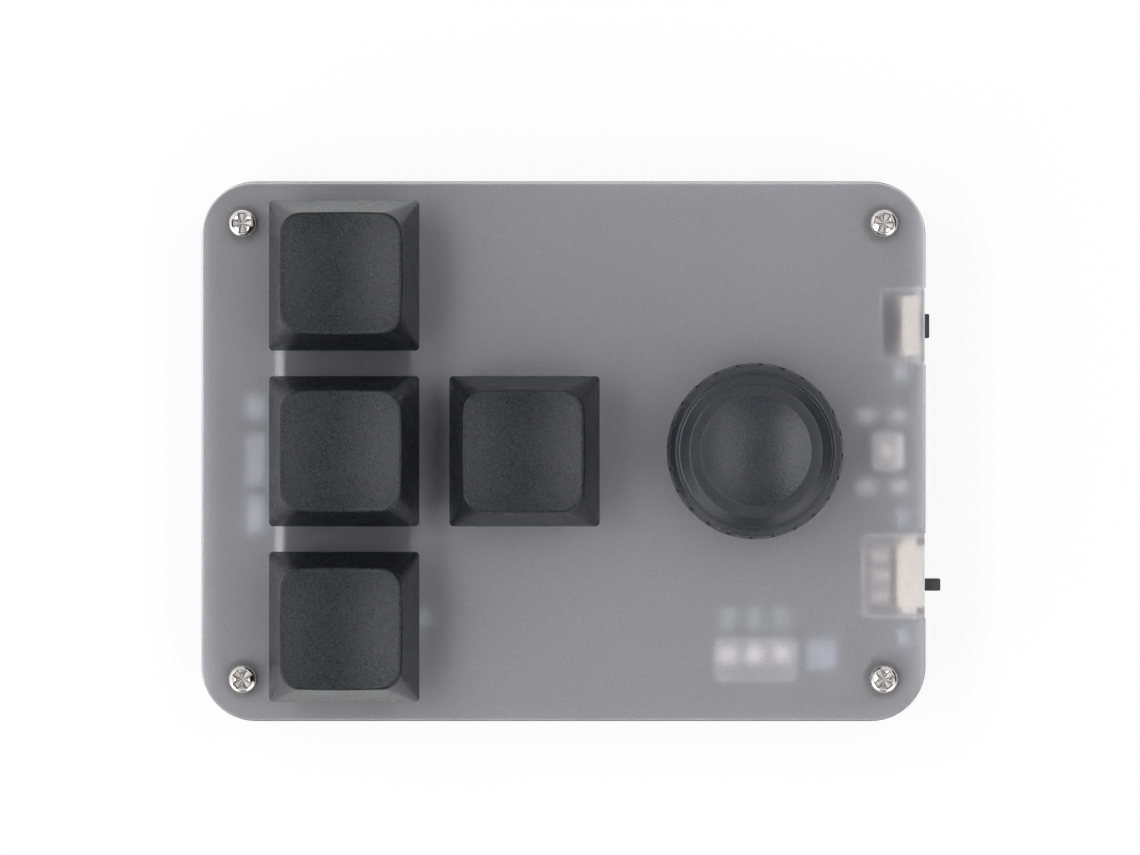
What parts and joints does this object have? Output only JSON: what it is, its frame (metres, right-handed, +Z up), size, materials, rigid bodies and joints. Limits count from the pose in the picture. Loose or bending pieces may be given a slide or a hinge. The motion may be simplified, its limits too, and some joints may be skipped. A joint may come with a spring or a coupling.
{
  "type": "mini mechanical keyboard",
  "caption": "Mini mechanical keyboard with square keys, a push-and-turn knob, a side button and a slide switch in a frosted flat case.",
  "frame": {"origin": "middle of the bounding box, in the plane that the feet stand on", "axes": "+X along the width towards the edge with the side button and the slide switch, +Y towards the back, +Z up out of the keys"},
  "size_m": [0.0904, 0.066, 0.0304],
  "materials": {
    "base_plastic": "frosted",
    "frosted_lid": "frosted",
    "board": "satin",
    "screw_steel": "polished",
    "brass": "satin",
    "foot_rubber": "matte",
    "keycap_plastic": "fine grain",
    "stem_plastic": "satin",
    "spring_steel": "satin",
    "switch_plastic": "satin",
    "knob_plastic": "satin",
    "shaft_aluminium": "satin",
    "rotor_plastic": "satin",
    "sheet_steel": "satin",
    "cream_plastic": "satin",
    "black_plastic": "satin",
    "tinned_leads": "satin",
    "led_white": "gloss",
    "led_warm": "gloss",
    "battery_foil": "satin",
    "foam": "foam",
    "lead_sheath": "satin",
    "connector_plastic": "satin",
    "chip_plastic": "satin"
  },
  "bodies": {
    "case": {"base_shell": "base_plastic", "top_lid": "frosted_lid", "circuit_board": "board", "lid_screws": "screw_steel", "threaded_inserts": "brass", "rubber_feet": "foot_rubber", "switch_spring_1": "spring_steel", "switch_spring_2": "spring_steel", "switch_spring_3": "spring_steel", "switch_spring_4": "spring_steel", "switch_top_1": "switch_plastic", "switch_top_2": "switch_plastic", "switch_top_3": "switch_plastic", "switch_top_4": "switch_plastic", "switch_base_1": "switch_plastic", "switch_base_2": "switch_plastic", "switch_base_3": "switch_plastic", "switch_base_4": "switch_plastic", "switch_contacts_1": "brass", "switch_contacts_2": "brass", "switch_contacts_3": "brass", "switch_contacts_4": "brass", "encoder_bushing": "brass", "encoder_frame": "sheet_steel", "encoder_base": "switch_plastic", "encoder_pins": "sheet_steel", "encoder_push_dome": "spring_steel", "side_button_housing": "cream_plastic", "side_button_dome": "spring_steel", "side_button_leads": "tinned_leads", "slide_switch_housing": "cream_plastic", "slide_switch_leads": "tinned_leads", "usb_shell": "sheet_steel", "usb_tongue": "black_plastic", "usb_solder": "tinned_leads", "status_leds": "led_white", "charge_led": "led_warm", "controller_module": "board", "controller_shield": "sheet_steel", "battery": "battery_foil", "battery_pad": "foam", "battery_leads": "lead_sheath", "battery_plug": "connector_plastic", "battery_socket": "connector_plastic", "key_diodes": "chip_plastic", "chip_parts": "chip_plastic"},
    "key_1": {"keycap_1": "keycap_plastic", "switch_stem_1": "stem_plastic"},
    "key_2": {"keycap_2": "keycap_plastic", "switch_stem_2": "stem_plastic"},
    "key_3": {"keycap_3": "keycap_plastic", "switch_stem_3": "stem_plastic"},
    "key_4": {"keycap_4": "keycap_plastic", "switch_stem_4": "stem_plastic"},
    "knob_rotor": {"encoder_rotor": "rotor_plastic"},
    "knob": {"knob": "knob_plastic", "encoder_shaft": "shaft_aluminium"},
    "side_button": {"side_button_plunger": "black_plastic"},
    "slide_switch": {"slide_switch_slider": "black_plastic", "slide_switch_clip": "brass"}
  },
  "joints": [
    {"name": "key_1_press", "type": "slide", "parent": "case", "child": "key_1", "axis": [0, 0, -1], "range_m": [0, 0.004], "stiffness_N_per_m": 100, "springref_m": -0.0035, "deforming": ["switch_spring_1"]},
    {"name": "key_2_press", "type": "slide", "parent": "case", "child": "key_2", "axis": [0, 0, -1], "range_m": [0, 0.004], "stiffness_N_per_m": 100, "springref_m": -0.0035, "deforming": ["switch_spring_2"]},
    {"name": "key_3_press", "type": "slide", "parent": "case", "child": "key_3", "axis": [0, 0, -1], "range_m": [0, 0.004], "stiffness_N_per_m": 100, "springref_m": -0.0035, "deforming": ["switch_spring_3"]},
    {"name": "key_4_press", "type": "slide", "parent": "case", "child": "key_4", "axis": [0, 0, -1], "range_m": [0, 0.004], "stiffness_N_per_m": 100, "springref_m": -0.0035, "deforming": ["switch_spring_4"]},
    {"name": "knob_turn", "type": "hinge", "parent": "case", "child": "knob_rotor", "pos_m": [0.0222, 0, 0.018], "axis": [0, 0, 1], "continuous": true},
    {"name": "knob_push", "type": "slide", "parent": "knob_rotor", "child": "knob", "axis": [0, 0, -1], "range_m": [0, 0.0005], "stiffness_N_per_m": 2000, "springref_m": -0.0005},
    {"name": "side_button_press", "type": "slide", "parent": "case", "child": "side_button", "axis": [-1, 0, 0], "range_m": [0, 0.00025], "stiffness_N_per_m": 1000, "springref_m": -0.0005},
    {"name": "slide_switch_move", "type": "slide", "parent": "case", "child": "slide_switch", "axis": [0, 1, 0], "range_m": [0, 0.0022]}
  ]
}
